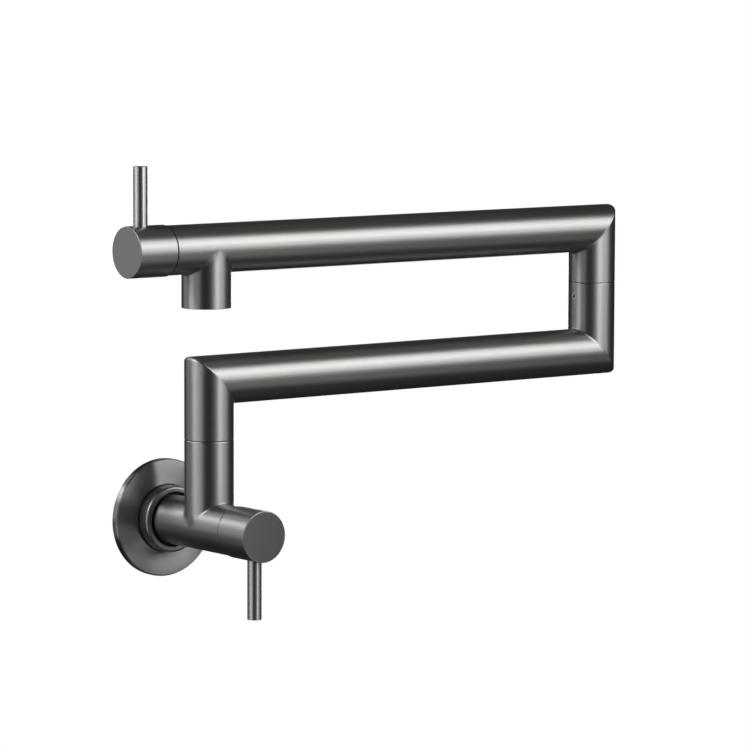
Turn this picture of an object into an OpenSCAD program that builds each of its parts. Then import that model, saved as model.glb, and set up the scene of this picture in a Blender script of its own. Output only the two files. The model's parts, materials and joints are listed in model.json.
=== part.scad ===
// Wall mounted pot filler with two folding arms and two quarter turn valves.
// Millimetres. The wall is the plane y = 0, the room is on the -Y side, +Z is up,
// and the origin is the axis of the inlet thread in the wall plane.

/* [Tube] */
// Outside diameter of the body, the riser and both arms
tube_od = 28; // [27:0.5:32]
// Wall of the arm tubes
tube_wall = 1.5; // [1:0.25:1.75]
// Radius of the rounded tip of a mitred corner
mitre_tip_r = 3; // [1.5:0.5:5]

/* [Wall body] */
// Distance from the wall to the riser's axis
riser_out = 47.6; // [45:0.1:60]
// Distance from the riser's axis to the body's front face
inlet_setback = 27.2; // [25:0.1:29]
// Height of the base swivel seam over the body's axis
base_seam_z = 49.4; // [46:0.1:56]
// Radius of the tapped hole at the back, for a half inch pipe
inlet_thread_r = 9.3; // [9:0.1:10]
// Depth of the tapped hole
inlet_thread_len = 14; // [12:0.5:15]

/* [Arms] */
// Height of the lower arm's axis over the body's axis
lower_arm_z = 82.8; // [79:0.1:110]
// Height of the upper arm's axis over the lower arm's axis
arm_spacing = 74.2; // [72:0.1:100]
// Distance from the riser's axis to the elbow's axis
lower_reach = 281; // [200:1:400]
// Distance from the elbow's axis to the outlet's axis
upper_reach = 282.8; // [200:0.1:400]
// Height of the elbow swivel seam over the lower arm's axis
elbow_seam_rise = 41.5; // [41:0.1:43]

/* [Swivels] */
// Wall of the bush in the elbow that the upper spigot turns in
socket_wall = 2.45; // [2:0.05:3.4]
// Wall of a spigot inside its O-ring grooves
spigot_wall = 2.35; // [1.8:0.05:3.5]
// Length of the spigot's journal below its shoulder
journal_len = 23; // [20:0.5:23.5]
// Length of the spigot that is brazed into its tube
spigot_root_len = 12; // [8:0.5:13]
// Running clearance between a spigot and its bore
swivel_gap = 0.05; // [0.02:0.01:0.1]
// Distance from a swivel seam down to its grub screw
screw_drop = 7.7; // [6:0.1:9]

/* [Outlet] */
// Drop from the upper arm's axis to the outlet's lower face
outlet_drop = 33.2; // [30:0.1:40]
// Distance from the outlet's axis to the arm's free end face
outlet_setback = 28; // [27:0.1:31]
// Wall of the outlet round the aerator
outlet_wall = 2.5; // [2:0.1:3.5]
// Depth of the socket for the aerator
aerator_socket_len = 12; // [10:0.5:13]

/* [Knobs and levers] */
// How far a knob stands out past its tube, all round
knob_lip = 0.5; // [0:0.1:2]
// Length of both knobs
knob_len = 24.8; // [22:0.1:30]
// Gap between a knob and the tube behind it
knob_gap = 0.8; // [0.6:0.1:1.5]
// Distance from a knob's front face to its lever's axis
lever_setback = 9.2; // [7:0.1:11]
// Diameter of the levers
lever_d = 8; // [6:0.5:9]
// Distance from a knob's axis to its lever's tip
lever_tip = 47.3; // [35:0.1:70]

/* [Cartridge] */
// Wall of a tube round the bonnet's thread
bonnet_seat_wall = 2.95; // [2.6:0.05:3.4]
// Step from the bonnet's thread in to the windowed sleeve
sleeve_step = 1.6; // [1.4:0.1:2]
// Radius of the side windows in the sleeve
window_r = 4.5; // [3.5:0.1:4.8]
// Thickness of each ceramic disc
disc_h = 3; // [2.5:0.1:3.5]
// Step from the bonnet's thread in to the flats of its hexagon
hex_step = 2.5; // [2.2:0.1:4]
// The spindle's bearing radius, as a share of the bonnet's thread radius
spindle_share = 0.45; // [0.4:0.01:0.48]
// The splines' outer radius, as a share of the spindle's bearing radius
spline_share = 0.8; // [0.7:0.05:0.9]
// Number of teeth on the spindle's splines
spline_teeth = 20; // [12:1:24]

/* [Escutcheon] */
// Outside diameter of the escutcheon
escutcheon_od = 67.6; // [64:0.1:90]
// Thickness of the escutcheon
escutcheon_t = 5; // [4:0.1:6]
// Width of the collar, from the tube to its outside
collar_w = 5; // [4:0.1:8]
// Distance from the wall to the collar's front face
collar_front = 13.5; // [12:0.1:16]

/* [Hidden] */
$fn = 96;

// How far a cut runs past the face that it opens
overrun = 1;
// Gap of a brazed joint, all round
braze_gap = 0.05;

tube_r = tube_od / 2;
tube_bore_r = tube_r - tube_wall;
knob_r = tube_r + knob_lip;
lever_r = lever_d / 2;
upper_arm_z = lower_arm_z + arm_spacing;
elbow_seam_z = lower_arm_z + elbow_seam_rise;
elbow_x = lower_reach;
outlet_x = elbow_x - upper_reach;
outlet_z = upper_arm_z - outlet_drop;
arm_end_x = outlet_x - outlet_setback;
body_front = riser_out + inlet_setback;

// Glide rings in the swivel seams
glide_h = 0.5;
glide_lift = 0.1;
glide_inset = 0.7;
glide_bore_gap = 0.5;
swivel_rise = glide_h + glide_lift;

// Glide rings behind the knobs
knob_glide_share = 0.6;
knob_glide_h = knob_glide_share * knob_gap;
knob_glide_w = 1.2;
knob_glide_inset = 1;

// Spigots, their grooves and O-rings
spigot_tip_gap = 1;
spigot_chamfer = 0.6;
o_ring_groove_depth = 1.6;
o_ring_groove_w = 2.2;
o_ring_clear = 0.03;
o_ring_pitch = 4;
o_ring_first = 13.4;
screw_groove_w = 3.2;
screw_groove_depth = 1.05;
socket_floor_t = 2.3;

// Grub screws
screw_r = 2;
screw_gap = 0.05;
screw_inset = 0.3;
screw_point_r = 1.25;
screw_point_clear = 0.1;
screw_hex_af = 2;
screw_hex_depth = 1.6;

// Cartridge: depths are counted from the knob seam into the tube
bonnet_inset = 0.6;
bonnet_thread_len = 7.4;
bonnet_nose_len = 8;
bonnet_gap = 0.05;
hex_rise = 4;
hex_chamfer = 0.6;
socket_gap = 0.1;
sleeve_wall = 1.4;
window_lip = 0.85;
disc_gap = 0.1;
disc_film = 0.02;
disc_lug_w = 3;
disc_lug_gap = 0.1;
seal_h = 2.5;
seal_w = 2.3;
port_hub_r = 2.4;
port_rim_w = 1.1;
port_angle = 80;

// Spindle
spindle_gap = 0.05;
spindle_stem_share = 0.7;
spindle_shoulder_gap = 1.2;
spindle_shoulder_h = 1.4;
driver_w = 5;
driver_h = 1.8;
driver_lift = 0.1;
tang_inset = 2;
tang_w = 3;
tang_h = 1.1;
tang_gap = 0.1;
spline_depth = 0.4;
spindle_end_gap = 0.4;
spindle_o_ring_depth = 1;
spindle_o_ring_w = 1.3;
spindle_o_ring_first = 9;
spindle_o_ring_pitch = 3;
clip_h = 1;
clip_lift = 0.2;
clip_neck_depth = 0.6;
clip_w = 2.6;
clip_slot_w = 4.5;

// Knobs and levers
knob_chamfer = 0.4;
knob_wall = 2.8;
knob_cavity_len = 7.2;
spline_gap = 0.05;
lever_seat_depth = 4.8;
lever_gap = 0.05;
lever_shank_r = 2.5;
lever_shank_clear = 0.1;
lever_chamfer = 0.5;

// Aerator
aerator_gap = 0.1;
aerator_inset = 0.3;
aerator_wall = 1.1;
aerator_lip_h = 1.2;
aerator_lip_w = 0.9;
aerator_washer_h = 1.5;
aerator_washer_w = 3.3;
aerator_screen_h = 0.6;
aerator_plate_h = 3;
aerator_core_wall = 1;
aerator_hole_web = 0.75;
aerator_rim = 1.95;
aerator_rings = 3;
screen_hole_web = 1.35;

// Escutcheon, collar and gasket
escutcheon_r = escutcheon_od / 2;
collar_r = tube_r + collar_w;
escutcheon_rim = 1.5;
escutcheon_bevel = 2;
escutcheon_hole_gap = 0.5;
recess_gap = 1;
recess_depth = 2.5;
collar_edge_r = 1;
collar_lip_gap = 0.15;
collar_lip_front = 8;
collar_mouth_gap = 1.8;
collar_o_ring_clear = 0.02;
gasket_inset = 3;
gasket_w = 5;
gasket_t = 0.8;

// Depths along a cartridge, worked out from its pieces
mouth_depth = bonnet_inset + bonnet_thread_len;
nose_depth = mouth_depth + bonnet_nose_len;
window_depth = (inlet_setback + outlet_setback) / 2;
moving_top = window_depth + window_r + window_lip;
moving_bottom = moving_top + disc_h;
fixed_top = moving_bottom + disc_film;
sleeve_end = fixed_top + disc_h;
socket_depth = sleeve_end + seal_h;

// Radii of a cartridge, from its tube inwards
mouth_r = tube_r - bonnet_seat_wall;
bonnet_r = mouth_r - bonnet_gap;
hex_af = 2 * (bonnet_r - hex_step);
sleeve_r = bonnet_r - sleeve_step;
socket_r = sleeve_r + socket_gap;
sleeve_bore_r = sleeve_r - sleeve_wall;
disc_r = sleeve_bore_r - disc_gap;
tang_l = 2 * (disc_r - tang_inset);
spindle_shoulder_r = sleeve_bore_r - spindle_shoulder_gap;
spindle_r = spindle_share * bonnet_r;
spindle_stem_r = spindle_stem_share * spindle_r;
spline_r = spline_share * spindle_r;
knob_cavity_r = knob_r - knob_wall;
lever_seat_r = knob_r - lever_seat_depth;
lever_rise = knob_gap + knob_len - lever_setback;
spindle_top = lever_rise + lever_shank_r;
clip_bottom = hex_rise + clip_lift;
clip_top = clip_bottom + clip_h;
clip_neck_r = spline_r - clip_neck_depth;

// Radii of a swivel, from its tube inwards
swivel_r = tube_bore_r - braze_gap - socket_wall;
spigot_r = swivel_r - swivel_gap;
spigot_root_r = tube_bore_r - braze_gap;
o_ring_groove_r = spigot_r - o_ring_groove_depth;
waterway_r = o_ring_groove_r - spigot_wall;
swivel_o_ring_outer = swivel_r - o_ring_clear;
swivel_o_ring_inner = o_ring_groove_r + o_ring_clear;
socket_len = journal_len - swivel_rise + spigot_tip_gap;

aerator_socket_r = tube_r - outlet_wall;
aerator_r = aerator_socket_r - aerator_gap;
aerator_bore_r = aerator_r - aerator_wall;
aerator_core_r = aerator_bore_r - aerator_gap;
aerator_pitch = (aerator_core_r - aerator_rim) / aerator_rings;
aerator_hole_r = (aerator_pitch - aerator_hole_web) / 2;
screen_hole_r = (aerator_pitch - screen_hole_web) / 2;
aerator_top = outlet_z + aerator_socket_len;
aerator_core_z = outlet_z + aerator_inset + aerator_lip_h;
aerator_washer_z = aerator_top - aerator_washer_h;
aerator_screen_z = aerator_washer_z - aerator_screen_h;

// Colours
gunmetal = [0.27, 0.265, 0.27];
brass = [0.78, 0.64, 0.36];
steel = [0.62, 0.63, 0.65];
rubber = [0.08, 0.08, 0.085];
acetal = [0.12, 0.12, 0.125];
ceramic = [0.93, 0.92, 0.88];

// Round bars in the plane of the arms, and along the body
module bar_x(x_low, x_high, z, r) {
    translate([x_low, -riser_out, z]) rotate([0, 90, 0]) cylinder(h = x_high - x_low, r = r);
}

module bar_z(x, z_low, z_high, r) {
    translate([x, -riser_out, z_low]) cylinder(h = z_high - z_low, r = r);
}

module bar_y(near, out, r) {
    translate([0, -near, 0]) rotate([90, 0, 0]) cylinder(h = out - near, r = r);
}

// A thick plate that stands in the plane of the arms, with an outline in x and z
module plate_xz() {
    translate([0, -riser_out + tube_od, 0]) rotate([90, 0, 0]) linear_extrude(2 * tube_od) children();
}

// The corner that an upright and a level tube share, bounded by both tubes
module mitre(x, z, r) {
    past = tube_od;
    intersection() {
        bar_x(x - past, x + past, z, r);
        bar_z(x, z - past, z + past, r);
    }
}

// Both legs and the long tube of the lower arm; each leg runs past its end by extra
module lower_run(r, extra) {
    bar_z(0, base_seam_z + swivel_rise - extra, lower_arm_z, r);
    mitre(0, lower_arm_z, r);
    bar_x(0, elbow_x, lower_arm_z, r);
    mitre(elbow_x, lower_arm_z, r);
    bar_z(elbow_x, lower_arm_z, elbow_seam_z + extra, r);
}

// The leg of the upper arm up from z_low, and its long tube as far as x_low
module upper_run(x_low, z_low, r) {
    bar_z(elbow_x, z_low, upper_arm_z, r);
    mitre(elbow_x, upper_arm_z, r);
    bar_x(x_low, elbow_x, upper_arm_z, r);
}

// What is taken off the outer tip of the mitred corner at x, z to round it.
// x_side and z_side are 1 or -1 and say which way the tip points.
module mitre_tip(x, z, x_side, z_side) {
    centre = tube_r - mitre_tip_r;
    translate([x, 0, z]) scale([x_side, 1, z_side]) plate_xz() difference() {
        translate([centre, centre]) square(2 * mitre_tip_r);
        translate([centre, centre]) circle(mitre_tip_r);
    }
}

// Radius of a hexagon's corners, from its width across the flats
function hex_corner_r(across_flats) = across_flats / 2 / cos(180 / 6);

// A ring about the z axis
module ring(z_low, z_high, r_in, r_out) {
    difference() {
        translate([0, 0, z_low]) cylinder(h = z_high - z_low, r = r_out);
        translate([0, 0, z_low - overrun]) cylinder(h = z_high - z_low + 2 * overrun, r = r_in);
    }
}

// An O-ring about the z axis, between an inner and an outer radius
module o_ring(z, r_in, r_out) {
    translate([0, 0, z]) rotate_extrude() translate([(r_in + r_out) / 2, 0]) circle((r_out - r_in) / 2);
}

// Frames: the z axis points out of the tube at each knob, and up at each swivel
module at_inlet() {
    translate([0, -body_front, 0]) rotate([90, 0, 0]) children();
}

module at_outlet() {
    translate([arm_end_x, -riser_out, upper_arm_z]) rotate([0, -90, 0]) rotate([0, 0, 90]) children();
}

module at_base_swivel() {
    translate([0, -riser_out, base_seam_z]) children();
}

module at_elbow() {
    translate([elbow_x, -riser_out, elbow_seam_z]) children();
}

module at_wall() {
    rotate([90, 0, 0]) children();
}

// The mouth, socket and port floor that a cartridge screws into
module cartridge_cavity() {
    translate([0, 0, -mouth_depth]) cylinder(h = mouth_depth + overrun, r = mouth_r);
    translate([0, 0, -socket_depth]) cylinder(h = socket_depth, r = socket_r);
}

// The radial hole for a grub screw, out of the -Y side of a swivel
module screw_hole() {
    translate([0, 0, -screw_drop]) rotate([90, 0, 0]) cylinder(h = tube_r + overrun, r = screw_r);
}

// Escutcheon and collar
module wall_escutcheon() {
    color(gunmetal) at_wall() difference() {
        rotate_extrude() polygon([[0, 0], [escutcheon_r, 0], [escutcheon_r, escutcheon_rim],
            [escutcheon_r - escutcheon_bevel, escutcheon_t], [0, escutcheon_t]]);
        translate([0, 0, -overrun])
            cylinder(h = escutcheon_t + 2 * overrun, r = tube_r + escutcheon_hole_gap);
        translate([0, 0, escutcheon_t - recess_depth]) cylinder(h = escutcheon_t, r = collar_r + recess_gap);
        ring(-overrun, gasket_t, escutcheon_r - gasket_inset - gasket_w, escutcheon_r - gasket_inset);
    }
}

module wall_gasket() {
    color(rubber) at_wall()
        ring(0, gasket_t, escutcheon_r - gasket_inset - gasket_w, escutcheon_r - gasket_inset);
}

module escutcheon_collar() {
    seat = escutcheon_t - recess_depth;
    color(gunmetal) at_wall() difference() {
        rotate_extrude() union() {
            translate([0, seat]) square([collar_r, collar_front - collar_edge_r - seat]);
            translate([0, seat]) square([collar_r - collar_edge_r, collar_front - seat]);
            translate([collar_r - collar_edge_r, collar_front - collar_edge_r]) circle(collar_edge_r);
        }
        cylinder(h = collar_front + overrun, r = tube_r + collar_lip_gap);
        translate([0, 0, collar_lip_front]) cylinder(h = collar_front, r = tube_r + collar_mouth_gap);
    }
}

module collar_o_ring() {
    r_in = tube_r + collar_o_ring_clear;
    r_out = tube_r + collar_mouth_gap - collar_o_ring_clear;
    color(rubber) at_wall() o_ring(collar_lip_front + (r_out - r_in) / 2, r_in, r_out);
}

// Inlet body: the horizontal tube with its riser, the waterways and the swivel bore
module inlet_body() {
    color(gunmetal) difference() {
        union() {
            bar_y(0, body_front, tube_r);
            bar_z(0, 0, base_seam_z, tube_r);
        }
        bar_y(-overrun, inlet_thread_len, inlet_thread_r);
        bar_y(0, body_front - socket_depth + overrun, waterway_r);
        at_inlet() cartridge_cavity();
        bar_z(0, 0, base_seam_z, waterway_r);
        bar_z(0, base_seam_z - socket_len, base_seam_z + overrun, swivel_r);
        at_base_swivel() rotate([0, 0, 180]) screw_hole();
    }
}

// Spigot: a root brazed into the tube above the seam, and a journal that turns below it
module spigot() {
    color(brass) difference() {
        union() {
            translate([0, 0, swivel_rise]) cylinder(h = spigot_root_len, r = spigot_root_r);
            rotate_extrude() polygon([[0, swivel_rise], [spigot_r, swivel_rise],
                [spigot_r, swivel_rise - journal_len + spigot_chamfer],
                [spigot_r - spigot_chamfer, swivel_rise - journal_len],
                [0, swivel_rise - journal_len]]);
        }
        translate([0, 0, -journal_len])
            cylinder(h = journal_len + spigot_root_len + overrun, r = waterway_r);
        ring(-screw_drop - screw_groove_w / 2, -screw_drop + screw_groove_w / 2,
            spigot_r - screw_groove_depth, spigot_r + overrun);
        for (i = [0, 1]) {
            z = -o_ring_first - i * o_ring_pitch;
            ring(z - o_ring_groove_w / 2, z + o_ring_groove_w / 2, o_ring_groove_r, spigot_r + overrun);
        }
    }
}

module spigot_o_rings() {
    color(rubber) for (i = [0, 1])
        o_ring(-o_ring_first - i * o_ring_pitch, swivel_o_ring_inner, swivel_o_ring_outer);
}

module swivel_glide_ring() {
    color(acetal) ring(0, glide_h, swivel_r + glide_bore_gap, tube_r - glide_inset);
}

// Grub screw out of the -Y side, with a plain point that runs in the spigot's groove
module grub_screw() {
    head = tube_r - screw_inset;
    shoulder = swivel_r + screw_gap;
    point = spigot_r - screw_groove_depth + screw_point_clear;
    color(steel) translate([0, 0, -screw_drop]) rotate([90, 0, 0]) difference() {
        union() {
            translate([0, 0, shoulder]) cylinder(h = head - shoulder, r = screw_r - screw_gap);
            translate([0, 0, point]) cylinder(h = head - point - screw_hex_depth, r = screw_point_r);
        }
        translate([0, 0, head - screw_hex_depth])
            cylinder(h = screw_hex_depth + overrun, r = hex_corner_r(screw_hex_af), $fn = 6);
    }
}

module lower_arm() {
    color(gunmetal) difference() {
        lower_run(tube_r, 0);
        lower_run(tube_bore_r, overrun);
        mitre_tip(0, lower_arm_z, -1, 1);
        mitre_tip(elbow_x, lower_arm_z, 1, -1);
        at_elbow() rotate([0, 0, -90]) screw_hole();
    }
}

// Bush brazed into the lower arm's upright leg, which the upper arm's spigot turns in
module elbow_socket() {
    color(brass) at_elbow() difference() {
        translate([0, 0, -socket_len - socket_floor_t])
            cylinder(h = socket_len + socket_floor_t, r = tube_bore_r - braze_gap);
        translate([0, 0, -socket_len]) cylinder(h = socket_len + overrun, r = swivel_r);
        translate([0, 0, -socket_len - socket_floor_t - overrun])
            cylinder(h = socket_len, r = waterway_r);
        rotate([0, 0, -90]) screw_hole();
    }
}

// Upper arm: the tube and its leg, with the outlet and the valve seat at the free end
module upper_arm() {
    hollow_x = outlet_x + tube_r + tube_wall;
    color(gunmetal) difference() {
        union() {
            upper_run(arm_end_x, elbow_seam_z + swivel_rise, tube_r);
            bar_z(outlet_x, outlet_z, upper_arm_z, tube_r);
        }
        upper_run(hollow_x, elbow_seam_z, tube_bore_r);
        mitre_tip(elbow_x, upper_arm_z, 1, 1);
        bar_x(arm_end_x + socket_depth - overrun, hollow_x + overrun, upper_arm_z, waterway_r);
        at_outlet() cartridge_cavity();
        bar_z(outlet_x, outlet_z, upper_arm_z, waterway_r);
        bar_z(outlet_x, outlet_z - overrun, aerator_top, aerator_socket_r);
    }
}

// Two opposite ports of a ceramic disc, which open along the x axis
module disc_ports(z_low, h) {
    for (turn = [0, 180])
        rotate([0, 0, turn - port_angle / 2]) translate([0, 0, z_low]) rotate_extrude(angle = port_angle)
            translate([port_hub_r, 0]) square([disc_r - port_rim_w - port_hub_r, h]);
}

// Cartridge pieces that stand still
module bonnet() {
    color(brass) difference() {
        union() {
            translate([0, 0, -bonnet_inset]) intersection() {
                cylinder(h = hex_rise + bonnet_inset, r = hex_corner_r(hex_af), $fn = 6);
                rotate_extrude() polygon([[0, 0], [hex_af, 0],
                    [hex_corner_r(hex_af), hex_rise + bonnet_inset - hex_chamfer],
                    [hex_af / 2, hex_rise + bonnet_inset], [0, hex_rise + bonnet_inset]]);
            }
            translate([0, 0, -mouth_depth]) cylinder(h = bonnet_thread_len, r = bonnet_r);
            translate([0, 0, -nose_depth]) cylinder(h = bonnet_nose_len, r = sleeve_r);
        }
        translate([0, 0, -nose_depth - overrun])
            cylinder(h = nose_depth + hex_rise + 2 * overrun, r = spindle_r + spindle_gap);
    }
}

module sleeve() {
    lug_slot_w = disc_lug_w + 2 * disc_lug_gap;
    color(brass) difference() {
        ring(-sleeve_end, -nose_depth, sleeve_bore_r, sleeve_r);
        for (turn = [0, 90]) translate([0, 0, -window_depth]) rotate([90, 0, turn])
            cylinder(h = 2 * sleeve_r + overrun, r = window_r, center = true);
        translate([-lug_slot_w / 2, -sleeve_r - overrun, -sleeve_end - overrun])
            cube([lug_slot_w, 2 * sleeve_r + 2 * overrun, disc_h + overrun]);
    }
}

module seal() {
    color(rubber) ring(-socket_depth, -sleeve_end, sleeve_r - seal_w, sleeve_r);
}

module fixed_disc() {
    color(ceramic) difference() {
        union() {
            translate([0, 0, -sleeve_end]) cylinder(h = disc_h, r = disc_r);
            intersection() {
                translate([0, 0, -sleeve_end]) cylinder(h = disc_h, r = sleeve_r - disc_lug_gap);
                translate([-disc_lug_w / 2, -sleeve_r, -sleeve_end])
                    cube([disc_lug_w, 2 * sleeve_r, disc_h]);
            }
        }
        disc_ports(-sleeve_end - overrun, disc_h + 2 * overrun);
    }
}

module knob_glide_ring() {
    r_out = tube_r - knob_glide_inset;
    color(acetal) ring(0, knob_glide_h, r_out - knob_glide_w, r_out);
}

// Cartridge pieces that turn with the knob; the shut position is drawn
module moving_disc() {
    color(ceramic) rotate([0, 0, 90]) difference() {
        translate([0, 0, -moving_bottom]) cylinder(h = disc_h, r = disc_r);
        disc_ports(-moving_bottom - overrun, disc_h + 2 * overrun);
        translate([-tang_w / 2 - tang_gap, -tang_l / 2 - tang_gap, -moving_top - tang_h - tang_gap])
            cube([tang_w + 2 * tang_gap, tang_l + 2 * tang_gap, tang_h + overrun]);
    }
}

module spline_outline(gap) {
    polygon([for (i = [0 : 2 * spline_teeth - 1])
        let (r = (i % 2 == 0 ? spline_r : spline_r - spline_depth) + gap, a = 180 * i / spline_teeth)
            [r * cos(a), r * sin(a)]]);
}

module spindle() {
    driver_bottom = moving_top - driver_lift;
    driver_top = driver_bottom - driver_h;
    color(brass) difference() {
        union() {
            translate([0, 0, clip_top - overrun]) linear_extrude(spindle_top - clip_top + overrun)
                spline_outline(0);
            translate([0, 0, -nose_depth - spindle_shoulder_h])
                cylinder(h = nose_depth + spindle_shoulder_h + clip_bottom, r = spindle_r);
            translate([0, 0, -nose_depth - spindle_shoulder_h])
                cylinder(h = spindle_shoulder_h - driver_lift, r = spindle_shoulder_r);
            translate([0, 0, clip_bottom - overrun]) cylinder(h = clip_h + 2 * overrun, r = clip_neck_r);
            translate([0, 0, -driver_bottom])
                cylinder(h = driver_bottom - nose_depth, r = spindle_stem_r);
            intersection() {
                translate([0, 0, -driver_bottom]) cylinder(h = driver_h, r = disc_r);
                translate([-disc_r, -driver_w / 2, -driver_bottom]) cube([2 * disc_r, driver_w, driver_h]);
            }
            translate([-tang_l / 2, -tang_w / 2, -moving_top - tang_h])
                cube([tang_l, tang_w, tang_h + driver_lift + driver_h]);
        }
        for (i = [0, 1]) {
            z = -spindle_o_ring_first - i * spindle_o_ring_pitch;
            ring(z - spindle_o_ring_w / 2, z + spindle_o_ring_w / 2,
                spindle_r - spindle_o_ring_depth, spindle_r + overrun);
        }
        ring(clip_bottom, clip_top, clip_neck_r, spindle_r + overrun);
    }
}

module spindle_o_rings() {
    color(rubber) for (i = [0, 1])
        o_ring(-spindle_o_ring_first - i * spindle_o_ring_pitch,
            spindle_r - spindle_o_ring_depth + o_ring_clear, spindle_r + spindle_gap - o_ring_clear);
}

module spindle_clip() {
    color(steel) difference() {
        ring(clip_bottom, clip_top, clip_neck_r + spindle_gap, clip_neck_r + clip_w);
        translate([0, -clip_slot_w / 2, clip_bottom - overrun])
            cube([clip_neck_r + clip_w + overrun, clip_slot_w, clip_h + 2 * overrun]);
    }
}

// Knob: a cup over the bonnet, with splines on the spindle and a seat for the lever
module knob() {
    back = knob_gap;
    front = knob_gap + knob_len;
    color(gunmetal) difference() {
        rotate_extrude() polygon([[0, back], [knob_r - knob_chamfer, back], [knob_r, back + knob_chamfer],
            [knob_r, front - knob_chamfer], [knob_r - knob_chamfer, front], [0, front]]);
        translate([0, 0, back - overrun]) cylinder(h = knob_cavity_len + overrun, r = knob_cavity_r);
        translate([0, 0, back]) linear_extrude(spindle_top + spindle_end_gap - back)
            spline_outline(spline_gap);
        translate([0, 0, lever_rise]) rotate([90, 0, 0]) cylinder(h = knob_r + overrun, r = lever_shank_r);
        translate([0, -lever_seat_r, lever_rise]) rotate([90, 0, 0])
            cylinder(h = knob_r, r = lever_r + lever_gap);
    }
}

// Lever: a rod whose threaded shank goes through the knob and clamps the spindle
module lever() {
    shank_end = spline_r + lever_shank_clear;
    shank_r = lever_shank_r - lever_gap;
    color(gunmetal) translate([0, 0, lever_rise]) rotate([90, 0, 0]) rotate_extrude()
        polygon([[0, shank_end], [shank_r, shank_end], [shank_r, lever_seat_r], [lever_r, lever_seat_r],
            [lever_r, lever_tip - lever_chamfer], [lever_r - lever_chamfer, lever_tip], [0, lever_tip]]);
}

// Aerator
module hole_grid(z_low, h, r) {
    translate([outlet_x, -riser_out, z_low])
        for (row = [-aerator_rings : aerator_rings], step = [-aerator_rings : aerator_rings])
            if (abs(row + step) <= aerator_rings)
                translate([aerator_pitch * (step + row / 2), aerator_pitch * row * sqrt(3) / 2, 0])
                    cylinder(h = h, r = r);
}

module aerator_washer() {
    color(rubber) translate([outlet_x, -riser_out, 0])
        ring(aerator_washer_z, aerator_top, aerator_r - aerator_washer_w, aerator_r);
}

module aerator_screen() {
    color(steel) difference() {
        bar_z(outlet_x, aerator_screen_z, aerator_washer_z, aerator_core_r);
        hole_grid(aerator_screen_z - overrun, aerator_screen_h + 2 * overrun, screen_hole_r);
    }
}

module aerator_core() {
    color(ceramic) difference() {
        bar_z(outlet_x, aerator_core_z, aerator_screen_z, aerator_core_r);
        bar_z(outlet_x, aerator_core_z + aerator_plate_h, aerator_screen_z + overrun,
            aerator_core_r - aerator_core_wall);
        hole_grid(aerator_core_z - overrun, aerator_plate_h + 2 * overrun, aerator_hole_r);
    }
}

module aerator_housing() {
    color(gunmetal) difference() {
        bar_z(outlet_x, outlet_z + aerator_inset, aerator_washer_z, aerator_r);
        bar_z(outlet_x, aerator_core_z, aerator_top, aerator_bore_r);
        bar_z(outlet_x, outlet_z, aerator_top, aerator_bore_r - aerator_lip_w);
    }
}

wall_escutcheon();
wall_gasket();
escutcheon_collar();
collar_o_ring();
inlet_body();
at_inlet() bonnet();  // inlet_bonnet
at_inlet() sleeve();  // inlet_sleeve
at_inlet() seal();  // inlet_seal
at_inlet() fixed_disc();  // inlet_fixed_disc
at_inlet() knob_glide_ring();  // inlet_glide_ring
at_base_swivel() rotate([0, 0, 180]) grub_screw();  // base_swivel_screw
at_base_swivel() swivel_glide_ring();  // base_swivel_glide_ring
at_inlet() knob();  // inlet_knob
at_inlet() lever();  // inlet_lever
at_inlet() spindle();  // inlet_spindle
at_inlet() spindle_o_rings();  // inlet_spindle_o_rings
at_inlet() spindle_clip();  // inlet_spindle_clip
at_inlet() moving_disc();  // inlet_moving_disc
lower_arm();
at_base_swivel() spigot();  // lower_arm_spigot
at_base_swivel() spigot_o_rings();  // base_swivel_o_rings
elbow_socket();
at_elbow() rotate([0, 0, -90]) grub_screw();  // elbow_screw
at_elbow() swivel_glide_ring();  // elbow_glide_ring
upper_arm();
at_elbow() spigot();  // upper_arm_spigot
at_elbow() spigot_o_rings();  // elbow_o_rings
at_outlet() bonnet();  // outlet_bonnet
at_outlet() sleeve();  // outlet_sleeve
at_outlet() seal();  // outlet_seal
at_outlet() fixed_disc();  // outlet_fixed_disc
at_outlet() knob_glide_ring();  // outlet_glide_ring
aerator_washer();
aerator_screen();
aerator_core();
aerator_housing();
at_outlet() knob();  // outlet_knob
at_outlet() lever();  // outlet_lever
at_outlet() spindle();  // outlet_spindle
at_outlet() spindle_o_rings();  // outlet_spindle_o_rings
at_outlet() spindle_clip();  // outlet_spindle_clip
at_outlet() moving_disc();  // outlet_moving_disc
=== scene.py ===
"""Looks of a wall mounted pot filler: tubes with ground welds, turned knobs, brushed dark grey metal.

Sizes are in millimetres, apart from those of the stage, which are in metres. The tubes, knobs, levers,
escutcheon and collar are modelled here as fine meshes and stand for their CAD nodes. The other nodes
keep their CAD shape.
"""

import json
import math

import bmesh
import bpy
from mathutils import Matrix, Vector

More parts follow.
